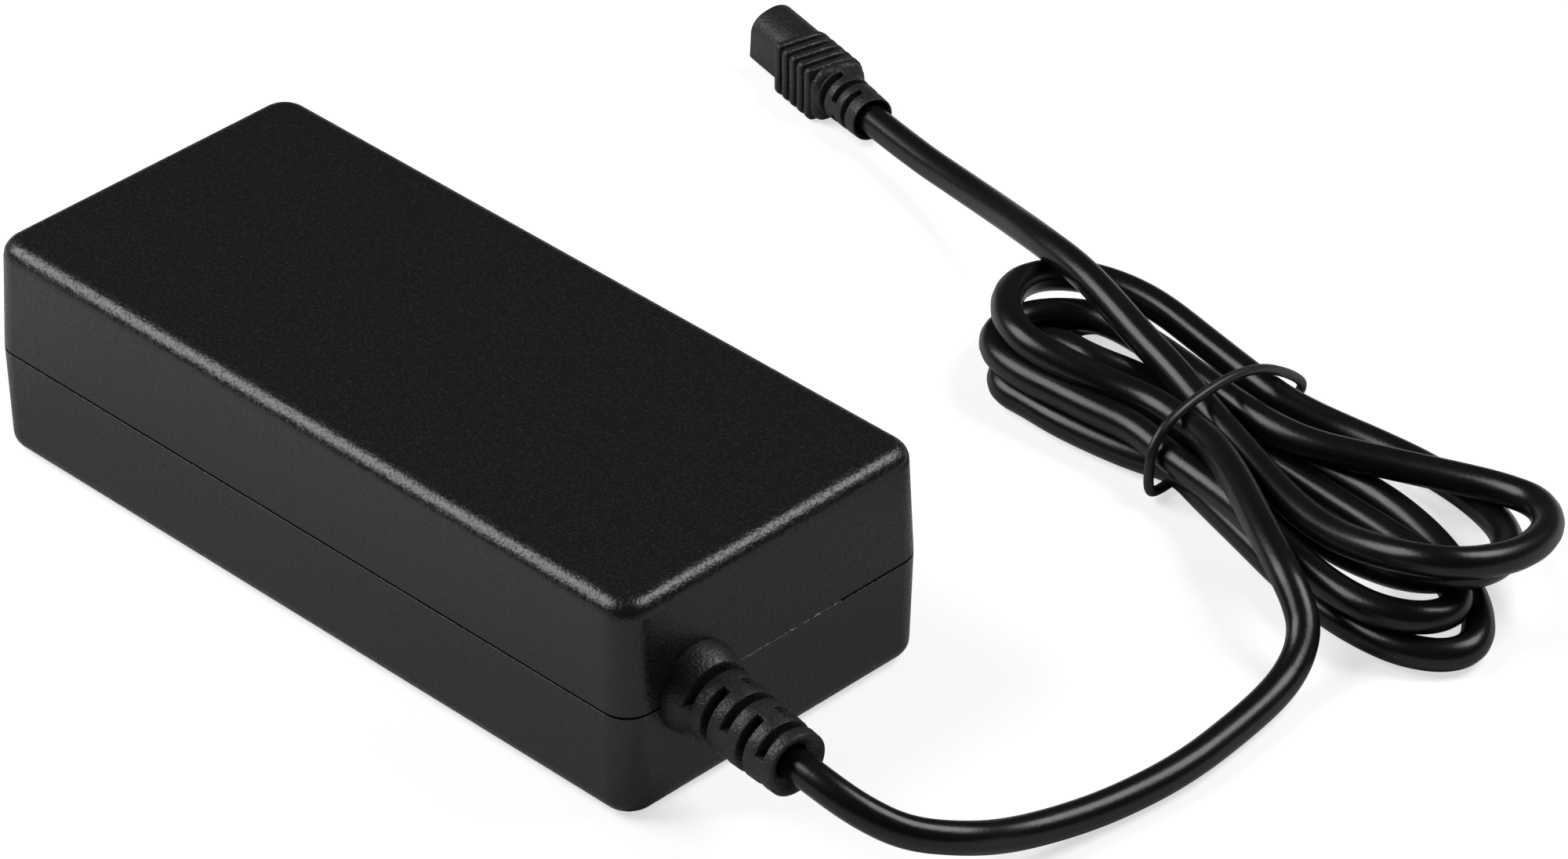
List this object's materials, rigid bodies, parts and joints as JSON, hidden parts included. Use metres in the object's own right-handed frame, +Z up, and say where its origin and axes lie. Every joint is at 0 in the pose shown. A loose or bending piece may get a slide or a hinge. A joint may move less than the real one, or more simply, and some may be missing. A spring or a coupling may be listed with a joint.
{
  "type": "power adapter",
  "caption": "Brick-shaped power adapter in a two-shell plastic housing, with a mains inlet, and a low-voltage lead tied in a hank that ends in a ribbed plug.",
  "frame": {"origin": "middle of the housing's underside", "axes": "+X along the housing towards the end where the low-voltage lead leaves, +Z up out of the housing's top, +Y across the housing away from the side that the lead leaves nearest"},
  "size_m": [0.1878, 0.157, 0.0349],
  "materials": {
    "housing": "fine-grained satin black",
    "relief": "matt black flexible moulding",
    "inlet_plastic": "semi-matt black",
    "pin_metal": "nickel plated",
    "contact_brass": "plain",
    "cord": "smooth semi-gloss black",
    "tie": "satin black",
    "board": "plain laminate",
    "dark_package": "moulded black",
    "can_sleeve": "printed-free dark sleeve",
    "disc_resin": "dipped resin",
    "film_box": "moulded",
    "ferrite": "sintered",
    "copper_winding": "enamelled",
    "winding_tape": "polyester tape",
    "heatsink_metal": "bare",
    "wire_sleeve": "insulated wire"
  },
  "bodies": {
    "root": {"upper_shell": "housing", "lower_shell": "housing", "output_strain_relief": "relief", "plug_overmould": "relief", "inlet_body": "inlet_plastic", "plug_insert": "inlet_plastic", "inlet_pin_line": "pin_metal", "inlet_pin_neutral": "pin_metal", "inlet_pin_earth": "pin_metal", "plug_contact_a": "contact_brass", "plug_contact_b": "contact_brass", "cord_from_brick": "cord", "cord_hank": "cord", "cord_to_plug": "cord", "cord_tie": "tie", "circuit_board": "board", "bridge_rectifier": "dark_package", "controller_chip": "dark_package", "optocoupler": "dark_package", "switching_transistor": "dark_package", "output_rectifier": "dark_package", "fuse": "dark_package", "bulk_capacitor": "can_sleeve", "output_capacitor_a": "can_sleeve", "output_capacitor_b": "can_sleeve", "y_capacitor": "disc_resin", "thermistor": "disc_resin", "x_capacitor": "film_box", "transformer_core": "ferrite", "choke_core": "ferrite", "output_choke": "ferrite", "choke_winding_a": "copper_winding", "choke_winding_b": "copper_winding", "transformer_winding": "winding_tape", "primary_heatsink": "heatsink_metal", "secondary_heatsink": "heatsink_metal", "inlet_lead_line": "wire_sleeve", "inlet_lead_neutral": "wire_sleeve", "output_lead_positive": "wire_sleeve", "output_lead_negative": "wire_sleeve"}
  },
  "joints": []
}
